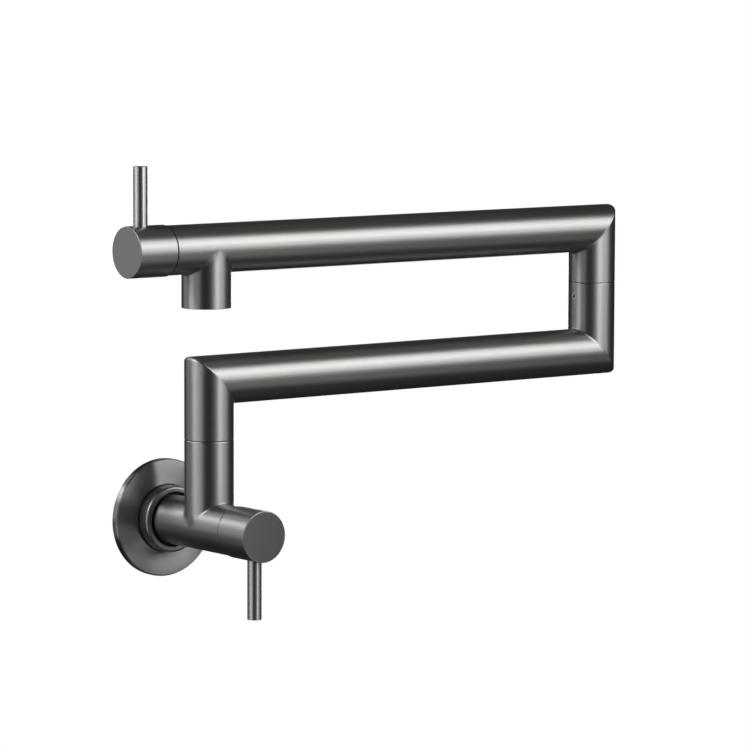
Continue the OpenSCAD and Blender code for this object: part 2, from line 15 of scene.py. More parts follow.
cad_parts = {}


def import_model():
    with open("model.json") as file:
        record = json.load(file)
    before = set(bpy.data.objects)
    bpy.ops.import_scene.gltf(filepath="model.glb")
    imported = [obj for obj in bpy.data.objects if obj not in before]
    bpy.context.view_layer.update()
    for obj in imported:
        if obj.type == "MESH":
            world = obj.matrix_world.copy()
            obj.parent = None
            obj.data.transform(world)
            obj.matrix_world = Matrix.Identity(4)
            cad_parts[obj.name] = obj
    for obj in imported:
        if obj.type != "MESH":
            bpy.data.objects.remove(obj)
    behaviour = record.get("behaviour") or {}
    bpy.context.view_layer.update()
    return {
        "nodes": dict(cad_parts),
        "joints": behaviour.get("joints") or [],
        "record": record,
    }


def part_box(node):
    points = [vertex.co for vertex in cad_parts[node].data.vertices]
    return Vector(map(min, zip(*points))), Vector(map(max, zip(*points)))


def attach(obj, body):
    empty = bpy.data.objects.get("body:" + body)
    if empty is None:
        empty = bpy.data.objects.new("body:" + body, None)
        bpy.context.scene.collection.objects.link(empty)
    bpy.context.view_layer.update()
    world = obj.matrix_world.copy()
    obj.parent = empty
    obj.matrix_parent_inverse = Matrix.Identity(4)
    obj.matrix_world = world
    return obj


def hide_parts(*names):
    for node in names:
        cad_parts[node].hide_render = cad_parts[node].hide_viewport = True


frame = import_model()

MM = 0.001

# Directions: out from the wall, along the folded arms, and up
OUT = Vector((0, -1, 0))
ALONG = Vector((1, 0, 0))
UP = Vector((0, 0, 1))

# Which number of a place lies along the valves' axes
INLET_AXIS = 1
OUTLET_AXIS = 0

# Mesh fineness
SEGMENTS = 96                   # round a tube or a turned piece
BORE_SEGMENTS = 64              # round a bore
ARC_STEPS = 5                   # along a rounded corner
RIM_STEPS = 3                   # over the rim at a tube's end
LEG_SPACING = 6.0               # between points along a short straight
ARM_SPACING = 24.0              # between points along a long one
HOLLOW_LEG_SPACING = 24.0
HOLLOW_ARM_SPACING = 60.0
HOLD = 0.35                     # from the end of a straight to the nearest point on it
MERGE = 0.0005                  # points as near as this are joined
SLIVER = 0.000125               # edges as short as this are dissolved
SHARP_ANGLE = math.radians(32)
SAME_WAY = 0.99                 # cosine from which two directions count as one

# Parts of a tube's full turn, as seen along its route
WHOLE = (0, 1)
LEFT_HALF = (0, 0.5)
RIGHT_HALF = (0.5, 1)

# Tubes
TUBE_WALL = 1.5
ELBOW_SEAM_RISE = 41.5
SEAM_ROUND = 0.15
SEAM_LIP = 0.4
SEAM_LIP_WALL = 0.6
RISER_TOP_ROUND = 0.6
ELBOW_TOP_ROUND = 0.35

# Mitres: the ridge outside, its tip, and the weld inside
RIDGE_ROUND = 0.6
TIP_ROUND = 2.1
TIP_POWER = 8                   # how suddenly the ridge's rounding grows towards its tip
WELD_ROUND = 0.9
WELD_RISE = 3                   # how soon the weld reaches its full rounding

# Welds round a branch
TEE_WELD_ROUND = 0.8
TEE_TIP_ROUND = 6.0
TEE_TIP_REACH = 5.0
SADDLE_SHARE = 2.0              # most rounding per distance from the tubes' common plane

# Bores, with the sizes that the CAD solids have
SWIVEL_R = 10.0
SWIVEL_DEPTH = 23.4
WATERWAY_R = 6.0
SCREW_R = 2.0
SCREW_DROP = 7.7
INLET_R = 9.3
INLET_DEPTH = 14.0
MOUTH_R = 11.05
MOUTH_DEPTH = 8.0
SOCKET_R = 9.5
AERATOR_SOCKET_R = 11.5
AERATOR_SOCKET_DEPTH = 12.0
OVERRUN = 1.0

# Knobs and levers
KNOB_EDGE = 0.45
KNOB_WALL = 2.8
KNOB_CAVITY = 7.2
SPINDLE_HOLE_R = 4.0
SPINDLE_END_GAP = 0.4
LEVER_SEAT_DEPTH = 4.8
LEVER_SHANK_R = 2.5
LEVER_GAP = 0.05
LEVER_EDGE = 0.3

# Escutcheon and collar
ESCUTCHEON_DROP = 0.45
ESCUTCHEON_CHAMFER = 0.8
ESCUTCHEON_CHAMFER_ROUND = 0.5
ESCUTCHEON_EDGE = 0.25
ESCUTCHEON_HOLE_GAP = 0.5
DOME_STEPS = 8
DOME_POWER = 4
RECESS_GAP = 0.5
RECESS_DEPTH = 2.5
GASKET_INSET = 3.0
GASKET_W = 5.0
GASKET_T = 0.8
COLLAR_EDGE = 1.6
COLLAR_LIP_GAP = 0.15
COLLAR_LIP_FRONT = 8.0
COLLAR_MOUTH_GAP = 1.8

joints = {joint["name"]: [value / MM for value in joint["pos_m"]] for joint in frame["joints"]}


def span(node):
    """Lowest and highest corner of a CAD node."""
    low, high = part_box(node)
    return low / MM, high / MM


# Sizes that follow from the frame
arm_low, arm_high = span("lower_arm")
outlet_low = span("upper_arm")[0]
washer_low, washer_high = span("aerator_washer")
TUBE_R = (arm_high.y - arm_low.y) / 2
BORE_R = TUBE_R - TUBE_WALL
RISER_OUT = -joints["base_swivel"][1]
BASE_SEAM_Z = joints["base_swivel"][2]
ELBOW_X = joints["elbow_swivel"][0]
ELBOW_SEAM_Z = joints["elbow_swivel"][2]
BODY_FRONT = -joints["inlet_knob_turn"][1]
ARM_END_X = joints["outlet_knob_turn"][0]
UPPER_ARM_Z = joints["outlet_knob_turn"][2]
SEAM_GAP = arm_low.z - BASE_SEAM_Z
LOWER_ARM_Z = ELBOW_SEAM_Z - ELBOW_SEAM_RISE
OUTLET_X = (washer_low.x + washer_high.x) / 2
OUTLET_Z = outlet_low.z
SOCKET_DEPTH = BODY_FRONT + span("inlet_seal")[1].y


# Where the points of a shape go

def in_body(out, z, across):
    """A place in the upright plane of the body, or at a distance across it."""
    return Vector((across, -out, z))


def in_arms(x, z, across):
    """A place in the upright plane of the arms, or at a distance across it."""
    return Vector((x, -RISER_OUT + across, z))


def from_wall(height, u, v):
    """A place round the body's axis, at a height above the wall."""
    return Vector((u, -height, v))


def from_inlet(height, u, v):
    """A place round the inlet valve's axis, at a height above the body's front face."""
    return Vector((u, -BODY_FRONT - height, v))


def from_outlet(height, u, v):
    """A place round the outlet valve's axis, at a height above the upper arm's free end."""
    return Vector((ARM_END_X - height, -RISER_OUT + u, UPPER_ARM_Z + v))


# Corners and outlines

def rounded_corner(before, corner, after, radius):
    """Points of the arc that rounds a corner, from its start to its end."""
    if radius <= 0:
        return [corner] * (ARC_STEPS + 1)
    back = (before - corner).normalized()
    ahead = (after - corner).normalized()
    half = back.angle(ahead) / 2
    turn = math.pi - 2 * half
    centre = corner + (back + ahead).normalized() * (radius / math.sin(half))
    start = corner + back * (radius / math.tan(half)) - centre
    end = corner + ahead * (radius / math.tan(half)) - centre
    points = []
    for step in range(ARC_STEPS + 1):
        share = step / ARC_STEPS
        from_start = start * math.sin((1 - share) * turn)
        from_end = end * math.sin(share * turn)
        points.append(centre + (from_start + from_end) / math.sin(turn))
    return points


def profile(corners):
    """Points of a closed outline; each corner is (x, y, rounding radius)."""
    points = []
    for index, (x, y, radius) in enumerate(corners):
        before = Vector(corners[index - 1][:2])
        after = Vector(corners[(index + 1) % len(corners)][:2])
        if radius:
            points += rounded_corner(before, Vector((x, y)), after, radius)
        else:
            points.append(Vector((x, y)))
    return points


def distances(points):
    """Distance of each point from the first, measured along the line."""
    places = [0.0]
    for one, two in zip(points, points[1:]):
        places.append(places[-1] + (two - one).length)
    return places


# Meshes

BRUSH_MAP = "brush"


class Skin:
    """Faces gathered into one mesh, with a map along and round the surface."""

    def __init__(self):
        self.mesh = bmesh.new()
        self.map = self.mesh.loops.layers.uv.new(BRUSH_MAP)

    def grid(self, lines):
        """Quads between neighbouring lines; a line is (points, places along it, place across)."""
        rows = []
        for points, places, across in lines:
            corners = [self.mesh.verts.new(point * MM) for point in points]
            spots = [(place * MM, across * MM) for place in places]
            rows.append(list(zip(corners, spots)))
        for one, two in zip(rows, rows[1:]):
            for k in range(len(one) - 1):
                quad = (one[k], one[k + 1], two[k + 1], two[k])
                face = self.mesh.faces.new([corner for corner, spot in quad])
                for loop, (corner, spot) in zip(face.loops, quad):
                    loop[self.map].uv = spot

    def close(self):
        """Joins equal points and covers every open end with a flat face."""
        bmesh.ops.remove_doubles(self.mesh, verts=self.mesh.verts, dist=MERGE * MM)
        bmesh.ops.dissolve_degenerate(self.mesh, edges=self.mesh.edges, dist=SLIVER * MM)
        open_edges = [edge for edge in self.mesh.edges if edge.is_boundary]
        if open_edges:
            made = bmesh.ops.holes_fill(self.mesh, edges=open_edges, sides=0)
            for face in made["faces"]:
                face.material_index = 1
        bmesh.ops.recalc_face_normals(self.mesh, faces=self.mesh.faces)

    def piece(self, name, materials):
        """A Blender object with this mesh."""
        data = bpy.data.meshes.new(name)
        self.mesh.to_mesh(data)
        self.mesh.free()
        made = bpy.data.objects.new(name, data)
        bpy.context.scene.collection.objects.link(made)
        for material in materials:
            data.materials.append(material)
        return made


def turned(name, outline, place, materials):
    """A closed outline of (height, radius) points turned round an axis; place gives the 3-D point."""
    closed = outline + [outline[0]]
    places = distances(closed)
    reach = max(point.y for point in outline)
    lines = []
    for k in range(SEGMENTS + 1):
        angle = 2 * math.pi * k / SEGMENTS
        points = [place(point.x, point.y * math.cos(angle), point.y * math.sin(angle)) for point in closed]
        lines.append((points, places, angle * reach))
    skin = Skin()
    skin.grid(lines)
    skin.close()
    return skin.piece(name, materials)


def smooth(piece):
    """Smooth faces, with creases at sharp edges and flat faces kept flat."""
    for face in piece.data.polygons:
        face.use_smooth = True
    piece.data.set_sharp_from_angle(angle=SHARP_ANGLE)
    weighted = piece.modifiers.new("normals", "WEIGHTED_NORMAL")
    weighted.keep_sharp = True


def stand_in(piece, node, body):
    """Smooths a piece and lets it stand for a CAD node, on the node's body."""
    smooth(piece)
    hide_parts(node)
    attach(piece, body)


# Bent tubes

def mitre_round(inward):
    """Rounding at a mitre: a ground weld inside, a crisp ridge with a soft tip outside."""
    share = min(1.0, abs(inward) / TUBE_R)
    if inward < 0:
        return RIDGE_ROUND + (TIP_ROUND - RIDGE_ROUND) * share ** TIP_POWER
    return RIDGE_ROUND + (WELD_ROUND - RIDGE_ROUND) * min(1.0, WELD_RISE * share)


def tee_round(inward):
    """Rounding of the weld round a branch: wide near the tip, and none where the tubes are tangent."""
    near_tip = math.exp(-(inward / TEE_TIP_REACH) ** 2)
    full = TEE_WELD_ROUND + (TEE_TIP_ROUND - TEE_WELD_ROUND) * near_tip
    return min(full, abs(inward) * SADDLE_SHARE)


def stations(length, spacing):
    """Shares of a straight at which it has points, with one close to each end."""
    count = max(1, round(length / spacing))
    inner = [k / count for k in range(1, count)]
    return [HOLD / length] + inner + [1 - HOLD / length]


def left_of(direction):
    """The direction square to another one, on its left."""
    return Vector((-direction.y, direction.x))


def tube_line(route, corners, spacings, place, r, angle, rims):
    """One line along a round tube, at an angle round it; tube says what the rest is."""
    across = r * math.cos(angle)
    left = r * math.sin(angle)
    ways = [(two - one).normalized() for one, two in zip(route, route[1:])]
    sides = [left_of(way) for way in ways]

    def rim(end, ahead, side, size):
        """Points that turn the end of the tube over, from its end face outward."""
        points = []
        for step in range(RIM_STEPS):
            lean = math.pi / 2 * step / RIM_STEPS
            share = 1 - size * (1 - math.sin(lean)) / r
            spot = end + ahead * size * (1 - math.cos(lean)) + side * left * share
            points.append(place(spot.x, spot.y, across * share))
        return points

    moved = [route[0] + sides[0] * left + ways[0] * rims[0]]
    for point, one, two in zip(route[1:], sides, sides[1:]):
        moved.append(point + (one + two) * (left / (1 + one.dot(two))))
    moved.append(route[-1] + sides[-1] * left - ways[-1] * rims[1])
    arcs = [[moved[0]]]
    for k, rounding in enumerate(corners, 1):
        if rounding:
            inward = math.copysign(left, left * ways[k - 1].cross(ways[k]))
            arcs.append(rounded_corner(moved[k - 1], moved[k], moved[k + 1], rounding(inward)))
        else:
            arcs.append([moved[k]])
    arcs.append([moved[-1]])
    points = []
    for k, spacing in enumerate(spacings):
        start = arcs[k][-1]
        end = arcs[k + 1][0]
        length = (route[k + 1] - route[k]).length
        points += arcs[k]
        points += [start.lerp(end, share) for share in stations(length, spacing)]
    points += arcs[-1]
    line = [place(point.x, point.y, across) for point in points]
    if rims[0]:
        line = rim(route[0], ways[0], sides[0], rims[0]) + line
    if rims[1]:
        line = line + rim(route[-1], -ways[-1], sides[-1], rims[1])[::-1]
    return line


def tube(skin, route, corners, spacings, place, r=TUBE_R, arc=WHOLE, rims=(SEAM_ROUND, SEAM_ROUND)):
    """Adds part of a round tube to a skin.

    route is the tube's axis in the plane that place has, and corners has a rounding for each inner
    point of it, or None where it is straight or sharp. A rounding takes the distance from the axis
    to the inside of the turn. spacings are the distances between points along the straights, arc is
    the part of a full turn, and rims are the roundings of the two ends.
    """
    first, last = [round(share * SEGMENTS) for share in arc]
    route = [Vector(point) for point in route]
    lines = []
    for k in range(first, last + 1):
        angle = 2 * math.pi * k / SEGMENTS
        points = tube_line(route, corners, spacings, place, r, angle, rims)
        lines.append((points, distances(points), angle * r))
    skin.grid(lines)


# Bores

def rod(start, direction, length, r):
    """A closed round bar, to be cut out of a piece."""
    skin = bmesh.new()
    turn = UP.rotation_difference(direction).to_matrix().to_4x4()
    middle = start + direction * (length / 2)
    bmesh.ops.create_cone(skin, cap_ends=True, segments=BORE_SEGMENTS, radius1=r * MM, radius2=r * MM,
                          depth=length * MM, matrix=Matrix.Translation(middle * MM) @ turn)
    data = bpy.data.meshes.new("rod")
    skin.to_mesh(data)
    skin.free()
    made = bpy.data.objects.new("rod", data)
    bpy.context.scene.collection.objects.link(made)
    return made


def bore(face, inward, depth, r):
    """A closed round bar that cuts a hole into a face, to a depth below it."""
    return rod(face - inward * OVERRUN, inward, depth + OVERRUN, r)


def hollow(route, spacings):
    """The inside of an arm, with sharp corners, to be cut out of it."""
    skin = Skin()
    tube(skin, route, [None] * (len(route) - 2), spacings, in_arms, BORE_R, rims=(0, 0))
    skin.close()
    return skin.piece("hollow", [])


def cut(piece, tools):
    """Cuts closed pieces out of another one and removes them."""
    for tool in tools:
        step = piece.modifiers.new("cut", "BOOLEAN")
        step.operation = "DIFFERENCE"
        step.solver = "EXACT"
        step.object = tool
        bpy.context.view_layer.update()
        shown = piece.evaluated_get(bpy.context.evaluated_depsgraph_get())
        data = bpy.data.meshes.new_from_object(shown)
        piece.modifiers.clear()
        piece.data = data
        data.name = piece.name
        bpy.data.objects.remove(tool)


# Materials

METAL = 1.0
NOT_METAL = 0.0

# Brushing: noise cells per metre along a piece and round it
BRUSH_ALONG = 2800.0
BRUSH_ROUND = 60.0
BRUSH_DETAIL = 3.0
BRUSH_STRENGTH = 1.0

# Faint clouds in the colour of brushed metal
CLOUD_SCALE = 18.0
CLOUD_DETAIL = 2.0
CLOUD_DARK = 0.95
CLOUD_LIGHT = 1.05

# Grain of the plain finishes
GRAIN_DETAIL = 4.0
GRAIN_STRENGTH = 0.3

# Numbers of the colour sockets on a mix node
MIX_FACTOR = 0
MIX_FIRST = 6
MIX_SECOND = 7
MIX_RESULT = 2


def shader(name, colour, metallic, roughness):
    """A material with a principled shader; returns it with its node tree and the shader's inputs."""
    material = bpy.data.materials.new(name)
    material.use_nodes = True
    inputs = material.node_tree.nodes["Principled BSDF"].inputs
    inputs["Base Color"].default_value = (*colour, 1)
    inputs["Metallic"].default_value = metallic
    inputs["Roughness"].default_value = roughness
    return material, material.node_tree, inputs


def noise(tree, place, scale, detail):
    """The values of a noise at given coordinates."""
    made = tree.nodes.new("ShaderNodeTexNoise")
    made.inputs["Scale"].default_value = scale
    made.inputs["Detail"].default_value = detail
    tree.links.new(place, made.inputs["Vector"])
    return made.outputs["Fac"]


def mix(tree, factor, first, second):
    """A colour between two others."""
    made = tree.nodes.new("ShaderNodeMix")
    made.data_type = "RGBA"
    made.inputs[MIX_FIRST].default_value = (*first, 1)
    made.inputs[MIX_SECOND].default_value = (*second, 1)
    tree.links.new(factor, made.inputs[MIX_FACTOR])
    return made.outputs[MIX_RESULT]


def roughen(tree, inputs, grain, roughness, spread, depth, strength):
    """Lets a grain vary a shader's roughness and raise its surface."""
    rough = tree.nodes.new("ShaderNodeMapRange")
    rough.inputs["To Min"].default_value = roughness - spread
    rough.inputs["To Max"].default_value = roughness + spread
    tree.links.new(grain, rough.inputs["Value"])
    tree.links.new(rough.outputs["Result"], inputs["Roughness"])
    bump = tree.nodes.new("ShaderNodeBump")
    bump.inputs["Strength"].default_value = strength
    bump.inputs["Distance"].default_value = depth * MM
    tree.links.new(grain, bump.inputs["Height"])
    tree.links.new(bump.outputs["Normal"], inputs["Normal"])


def brushed(name, colour, roughness, anisotropy, grain=1.0, spread=0.04, depth=0.003):
    """Metal brushed round the piece: fine grooves across the map's first direction."""
    material, tree, inputs = shader(name, colour, METAL, roughness)
    tangent = tree.nodes.new("ShaderNodeTangent")
    tangent.direction_type = "UV_MAP"
    tangent.uv_map = BRUSH_MAP
    inputs["Anisotropic"].default_value = anisotropy
    tree.links.new(tangent.outputs["Tangent"], inputs["Tangent"])
    place = tree.nodes.new("ShaderNodeUVMap")
    place.uv_map = BRUSH_MAP
    stretch = tree.nodes.new("ShaderNodeMapping")
    stretch.inputs["Scale"].default_value = (BRUSH_ALONG * grain, BRUSH_ROUND * grain, 1)
    tree.links.new(place.outputs["UV"], stretch.inputs["Vector"])
    grooves = noise(tree, stretch.outputs["Vector"], scale=1.0, detail=BRUSH_DETAIL)
    roughen(tree, inputs, grooves, roughness, spread, depth, BRUSH_STRENGTH)
    spot = tree.nodes.new("ShaderNodeTexCoord").outputs["Object"]
    cloud = noise(tree, spot, CLOUD_SCALE, CLOUD_DETAIL)
    dark = [value * CLOUD_DARK for value in colour]
    light = [value * CLOUD_LIGHT for value in colour]
    tree.links.new(mix(tree, cloud, dark, light), inputs["Base Color"])
    return material


def plain(name, colour, metallic, roughness, scale=400.0, spread=0.05, depth=0.02):
    """A plain finish with a slight grain in its roughness and surface."""
    material, tree, inputs = shader(name, colour, metallic, roughness)
    spot = tree.nodes.new("ShaderNodeTexCoord").outputs["Object"]
    grain = noise(tree, spot, scale, GRAIN_DETAIL)
    roughen(tree, inputs, grain, roughness, spread, depth, GRAIN_STRENGTH)
    return material


# Outer finishes
GUNMETAL = (0.306, 0.291, 0.298)
# Painted highlight: the levers' gunmetal is made lighter than the tubes' so that their highlights come out
# brighter
GUNMETAL_PAINTED_BRIGHTER = (0.43, 0.413, 0.42)
# Painted shade: the collar's gunmetal is made darker than the rest so that its highlight and side come out
# dimmer
GUNMETAL_PAINTED_DIMMER = (0.26, 0.247, 0.253)
SATIN = {"scale": 1500.0, "spread": 0.012, "depth": 0.0004}
FINE = {"spread": 0.01, "depth": 0.0002}
gunmetal = brushed("gunmetal_tube", GUNMETAL, roughness=0.41, anisotropy=0.64)
gunmetal_rod = brushed("gunmetal_rod", GUNMETAL_PAINTED_BRIGHTER, roughness=0.36, anisotropy=0.5, **FINE)
gunmetal_plate = brushed("gunmetal_plate", GUNMETAL, roughness=0.33, anisotropy=0.97, grain=0.8)
gunmetal_face = plain("gunmetal_face", GUNMETAL, METAL, roughness=0.265, **SATIN)
gunmetal_ring = plain("gunmetal_ring", GUNMETAL_PAINTED_DIMMER, METAL, roughness=0.4, **SATIN)

# Inner finishes: colour, metallic and roughness of each slot
INNER = {
    "brass": ((0.72, 0.52, 0.25), METAL, 0.25),
    "steel": ((0.56, 0.56, 0.57), METAL, 0.3),
    "rubber": ((0.018, 0.018, 0.018), NOT_METAL, 0.55),
    "acetal": ((0.02, 0.02, 0.021), NOT_METAL, 0.4),
    "white_plastic": ((0.72, 0.72, 0.7), NOT_METAL, 0.45),
    "ceramic": ((0.84, 0.83, 0.79), NOT_METAL, 0.2),
}
BY_SLOT = {slot: plain(slot, *finish) for slot, finish in INNER.items()}
BY_SLOT["gunmetal_finish"] = gunmetal_face
BY_SLOT["escutcheon_finish"] = gunmetal_face
SLOT_OF = {part["node"]: part["material_slot"] for part in frame["record"]["subparts"]}


# Tubes

def inlet_body():
    """The body and its riser, with the inlet, the valve seat and the swivel's bore."""
    back = (0, 0)
    tee = (RISER_OUT, 0)
    front = (BODY_FRONT, 0)
    top = (RISER_OUT, BASE_SEAM_Z)
    spacings = (LEG_SPACING, LEG_SPACING)
    skin = Skin()
    tube(skin, [back, tee, front], [None], spacings, in_body, arc=RIGHT_HALF)
    tube(skin, [back, tee, top], [tee_round], spacings, in_body, arc=LEFT_HALF,
         rims=(SEAM_ROUND, RISER_TOP_ROUND))
    tube(skin, [top, tee, front], [tee_round], spacings, in_body, arc=LEFT_HALF,
         rims=(RISER_TOP_ROUND, SEAM_ROUND))
    skin.close()
    piece = skin.piece("body_tube", [gunmetal, gunmetal_face])
    inlet = in_body(*back, 0)
    valve = in_body(*front, 0)
    seam = in_body(*top, 0)
    cut(piece, [
        bore(inlet, OUT, INLET_DEPTH, INLET_R),
        rod(inlet, OUT, BODY_FRONT - SOCKET_DEPTH + OVERRUN, WATERWAY_R),
        bore(valve, -OUT, MOUTH_DEPTH, MOUTH_R),
        bore(valve, -OUT, SOCKET_DEPTH, SOCKET_R),
        rod(in_body(*tee, 0), UP, BASE_SEAM_Z, WATERWAY_R),
        bore(seam, -UP, SWIVEL_DEPTH, SWIVEL_R),
        rod(seam - UP * SCREW_DROP, -OUT, TUBE_R + OVERRUN, SCREW_R),
    ])
    stand_in(piece, "inlet_body", "valve_body")


def lower_arm():
    """Both legs and the long tube of the lower arm, with a lip round the glide ring at each end."""
    foot = (0, BASE_SEAM_Z + SEAM_GAP)
    foot_lip = (0, foot[1] - SEAM_LIP)
    corner = (0, LOWER_ARM_Z)
    elbow = (ELBOW_X, LOWER_ARM_Z)
    top = (ELBOW_X, ELBOW_SEAM_Z)
    top_lip = (ELBOW_X, ELBOW_SEAM_Z + SEAM_LIP)
    skin = Skin()
    tube(skin, [foot_lip, corner, elbow, top_lip], [mitre_round, mitre_round],
         (LEG_SPACING, ARM_SPACING, LEG_SPACING), in_arms, rims=(SEAM_ROUND, ELBOW_TOP_ROUND))
    skin.close()
    piece = skin.piece("lower_arm_tube", [gunmetal, gunmetal_face])
    below = (0, foot_lip[1] - OVERRUN)
    above = (ELBOW_X, ELBOW_SEAM_Z + OVERRUN)
    seam = in_arms(*top, 0)
    cut(piece, [
        hollow([below, corner, elbow, above], (HOLLOW_LEG_SPACING, HOLLOW_ARM_SPACING, HOLLOW_LEG_SPACING)),
        rod(in_arms(*foot, 0), -UP, OVERRUN, TUBE_R - SEAM_LIP_WALL),
        rod(seam, UP, OVERRUN, TUBE_R - SEAM_LIP_WALL),
        rod(seam - UP * SCREW_DROP, -ALONG, TUBE_R + OVERRUN, SCREW_R),
    ])
    stand_in(piece, "lower_arm", "lower_arm")


def upper_arm():
    """The upper arm with its leg, its outlet and the valve seat in its free end."""
    end = (ARM_END_X, UPPER_ARM_Z)
    tee = (OUTLET_X, UPPER_ARM_Z)
    elbow = (ELBOW_X, UPPER_ARM_Z)
    foot = (ELBOW_X, ELBOW_SEAM_Z + SEAM_GAP)
    mouth = (OUTLET_X, OUTLET_Z)
    short_way = (LEG_SPACING, LEG_SPACING)
    long_way = (LEG_SPACING, ARM_SPACING, LEG_SPACING)
    skin = Skin()
    tube(skin, [end, tee, elbow, foot], [None, mitre_round], long_way, in_arms, arc=LEFT_HALF)
    tube(skin, [end, tee, mouth], [tee_round], short_way, in_arms, arc=RIGHT_HALF)
    tube(skin, [mouth, tee, elbow, foot], [tee_round, mitre_round], long_way, in_arms, arc=RIGHT_HALF)
    skin.close()
    piece = skin.piece("upper_arm_tube", [gunmetal, gunmetal_face])
    start = (OUTLET_X + TUBE_R + TUBE_WALL, UPPER_ARM_Z)
    below = (ELBOW_X, foot[1] - OVERRUN)
    valve = in_arms(*end, 0)
    socket = valve + ALONG * (SOCKET_DEPTH - OVERRUN)
    waterway = start[0] - ARM_END_X - SOCKET_DEPTH + 2 * OVERRUN
    outlet = in_arms(*mouth, 0)
    cut(piece, [
        hollow([start, elbow, below], (HOLLOW_ARM_SPACING, HOLLOW_LEG_SPACING)),
        rod(socket, ALONG, waterway, WATERWAY_R),
        bore(valve, ALONG, MOUTH_DEPTH, MOUTH_R),
        bore(valve, ALONG, SOCKET_DEPTH, SOCKET_R),
        rod(outlet, UP, UPPER_ARM_Z - OUTLET_Z, WATERWAY_R),
        bore(outlet, UP, AERATOR_SOCKET_DEPTH, AERATOR_SOCKET_R),
    ])
    stand_in(piece, "upper_arm", "upper_arm")


# Knobs and levers
# side is inlet or outlet, place puts points round the valve's axis, and way is where the lever points

def knob(side, place, axis, seat, way):
    """A cup over the valve's bonnet, with a rounded rim and a hole for its lever.

    seat is the place of the tube's end face along the valve's axis.
    """
    low, high = span(f"{side}_knob")
    lever_low, lever_high = span(f"{side}_lever")
    spindle_low = span(f"{side}_spindle")[0]
    r = (high.z - low.z) / 2
    back = seat - high[axis]
    front = seat - low[axis]
    cavity = back + KNOB_CAVITY
    cavity_r = r - KNOB_WALL
    hole = seat - spindle_low[axis] + SPINDLE_END_GAP
    outline = profile([
        (front, 0, 0), (front, r, KNOB_EDGE), (back, r, KNOB_EDGE), (back, cavity_r, 0),
        (cavity, cavity_r, 0), (cavity, SPINDLE_HOLE_R, 0), (hole, SPINDLE_HOLE_R, 0), (hole, 0, 0),
    ])
    piece = turned(f"{side}_knob_cup", outline, place, [gunmetal, gunmetal_face])
    middle = (lever_low + lever_high) / 2
    middle.z = place(0, 0, 0).z
    lever_r = (lever_high.y - lever_low.y) / 2
    cut(piece, [
        rod(middle, way, r + OVERRUN, LEVER_SHANK_R),
        rod(middle + way * (r - LEVER_SEAT_DEPTH), way, r, lever_r + LEVER_GAP),
    ])
    outward = place(1, 0, 0) - place(0, 0, 0)
    for face in piece.data.polygons:
        face.material_index = 1 if abs(face.normal.dot(outward)) > SAME_WAY else 0
    stand_in(piece, f"{side}_knob", f"{side}_handle")


def lever(side, place, way):
    """A rod with a soft edged tip and the shank that holds it in its knob."""
    low, high = span(f"{side}_lever")
    knob_low, knob_high = span(f"{side}_knob")
    seat = (knob_high.z - knob_low.z) / 2 - LEVER_SEAT_DEPTH
    middle = (low + high) / 2
    middle.z = place(0, 0, 0).z
    r = (high.y - low.y) / 2
    shank_r = LEVER_SHANK_R - LEVER_GAP
    shank, tip = sorted(abs(z - middle.z) for z in (low.z, high.z))
    outline = profile([
        (tip, 0, 0), (tip, r, LEVER_EDGE), (seat, r, 0), (seat, shank_r, 0), (shank, shank_r, 0),
        (shank, 0, 0),
    ])

    def from_knob(height, u, v):
        """A place round the lever's axis, at a height above the knob's axis."""
        return middle + Vector((u, v, 0)) + way * height

    piece = turned(f"{side}_lever_rod", outline, from_knob, [gunmetal_rod, gunmetal_face])
    stand_in(piece, f"{side}_lever", f"{side}_handle")


# Escutcheon and collar

def escutcheon():
    """The round plate on the wall: a faintly domed face, a soft edge, a recess and the gasket's groove."""
    low, high = span("wall_escutcheon")
    collar_low, collar_high = span("escutcheon_collar")
    r = (high.x - low.x) / 2
    front = -low.y
    face = front - ESCUTCHEON_DROP
    face_r = r - ESCUTCHEON_CHAMFER
    recess = front - RECESS_DEPTH
    recess_r = (collar_high.x - collar_low.x) / 2 + RECESS_GAP
    hole_r = TUBE_R + ESCUTCHEON_HOLE_GAP
    groove_r = r - GASKET_INSET
    inner_groove_r = groove_r - GASKET_W
    dome = []
    for step in range(1, DOME_STEPS):
        share = step / DOME_STEPS
        height = front - ESCUTCHEON_DROP * (1 - share) ** DOME_POWER
        dome.append((height, face_r + (recess_r - face_r) * share, 0))
    outline = profile([
        (0, r, ESCUTCHEON_EDGE), (face - ESCUTCHEON_CHAMFER, r, ESCUTCHEON_CHAMFER_ROUND),
        (face, face_r, ESCUTCHEON_CHAMFER_ROUND), *dome, (front, recess_r, ESCUTCHEON_EDGE),
        (recess, recess_r, 0), (recess, hole_r, 0), (0, hole_r, 0), (0, inner_groove_r, 0),
        (GASKET_T, inner_groove_r, 0), (GASKET_T, groove_r, 0), (0, groove_r, 0),
    ])
    piece = turned("escutcheon_plate", outline, from_wall, [gunmetal_plate])
    stand_in(piece, "wall_escutcheon", "valve_body")


def collar():
    """The hub ring round the body, with a soft outer edge and a mouth for its O-ring."""
    low, high = span("escutcheon_collar")
    r = (high.x - low.x) / 2
    seat = -high.y
    front = -low.y
    lip_r = TUBE_R + COLLAR_LIP_GAP
    mouth_r = TUBE_R + COLLAR_MOUTH_GAP
    outline = profile([
        (seat, r, 0), (front, r, COLLAR_EDGE), (front, mouth_r, ESCUTCHEON_EDGE),
        (COLLAR_LIP_FRONT, mouth_r, 0), (COLLAR_LIP_FRONT, lip_r, 0), (seat, lip_r, 0),
    ])
    piece = turned("collar_ring", outline, from_wall, [gunmetal_ring])
    stand_in(piece, "escutcheon_collar", "valve_body")


# The nodes from the CAD

def dress(name, part):
    """A finish for a CAD node."""
    part.data.materials.clear()
    part.data.materials.append(BY_SLOT[SLOT_OF[name]])
    for face in part.data.polygons:
        face.material_index = 0


# Stage, in metres

# What the lamps aim at
ARMS = (0.75, -0.05, 0.08)
MIDDLE = (0.12, -0.05, 0.08)
LEFT_END = (0.0, -0.05, 0.08)

